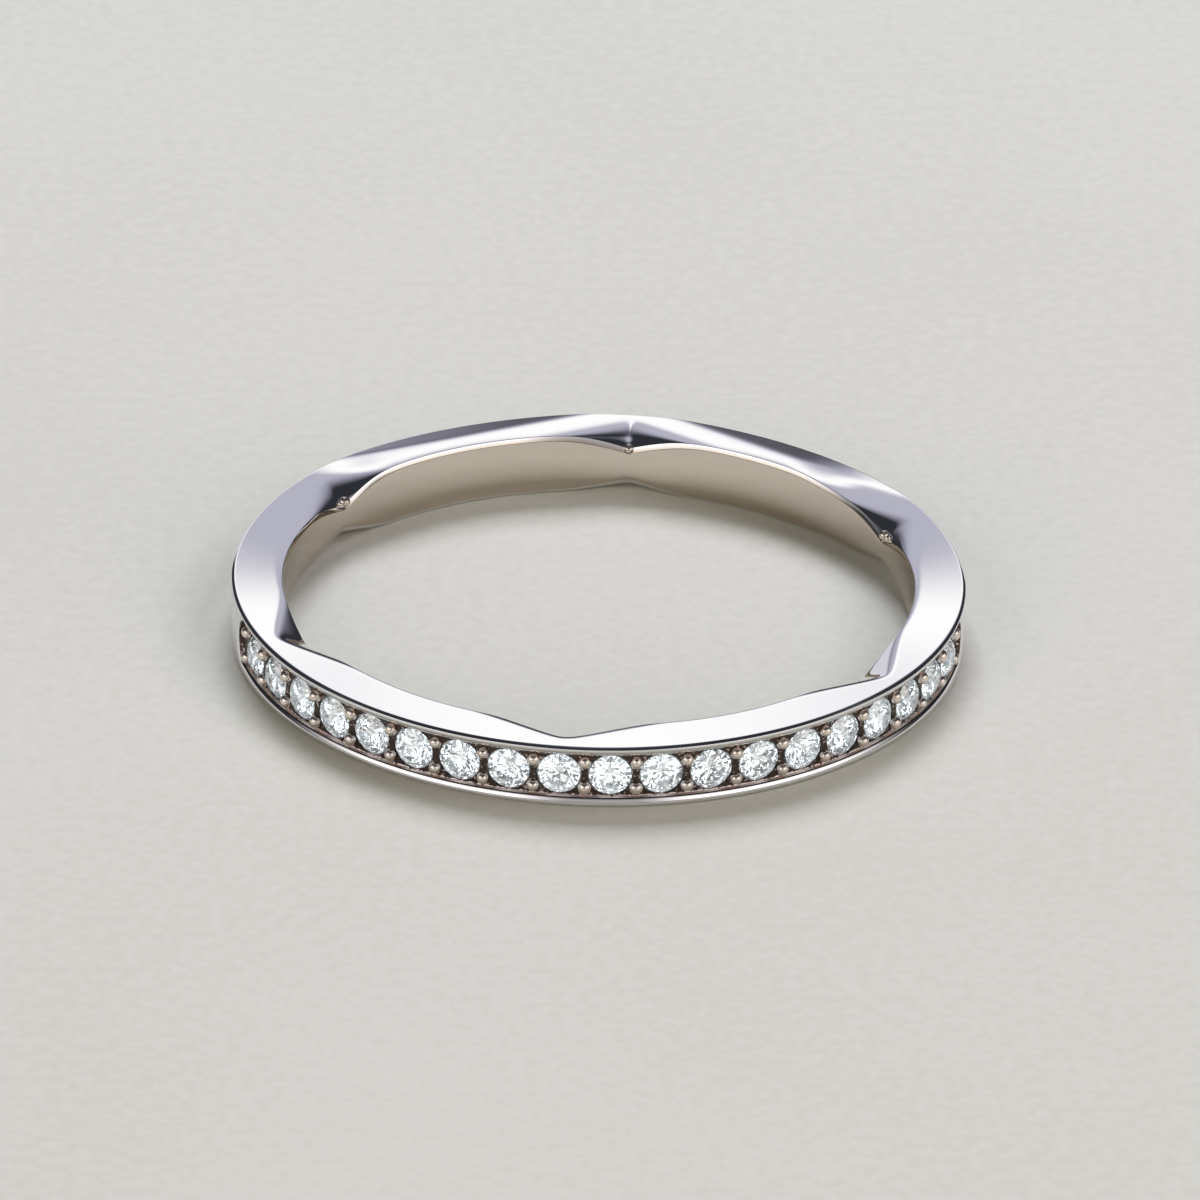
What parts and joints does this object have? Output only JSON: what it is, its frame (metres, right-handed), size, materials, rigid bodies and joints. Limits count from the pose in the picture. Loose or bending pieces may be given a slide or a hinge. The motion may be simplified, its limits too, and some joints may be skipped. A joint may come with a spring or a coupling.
{
  "type": "half eternity ring",
  "caption": "Finger ring with round brilliants set with shared beads in a channel along the front, and waisted notches along both side faces.",
  "frame": {"origin": "on the finger axis, in the side face that the ring rests on, which is the bottom centre of its box", "axes": "+Z along the finger axis, up from the face that the ring lies on; -Y towards the middle of the stone row"},
  "size_m": [0.0202, 0.0202, 0.0018],
  "materials": {
    "metal": "mirror-polished white metal, such as rhodium-plated sterling silver",
    "stone": "clear colourless faceted stone"
  },
  "bodies": {
    "root": {"band": "metal", "stone_01": "stone", "stone_02": "stone", "stone_03": "stone", "stone_04": "stone", "stone_05": "stone", "stone_06": "stone", "stone_07": "stone", "stone_08": "stone", "stone_09": "stone", "stone_10": "stone", "stone_11": "stone", "stone_12": "stone", "stone_13": "stone", "stone_14": "stone", "stone_15": "stone", "stone_16": "stone", "stone_17": "stone", "stone_18": "stone", "stone_19": "stone"}
  },
  "joints": []
}
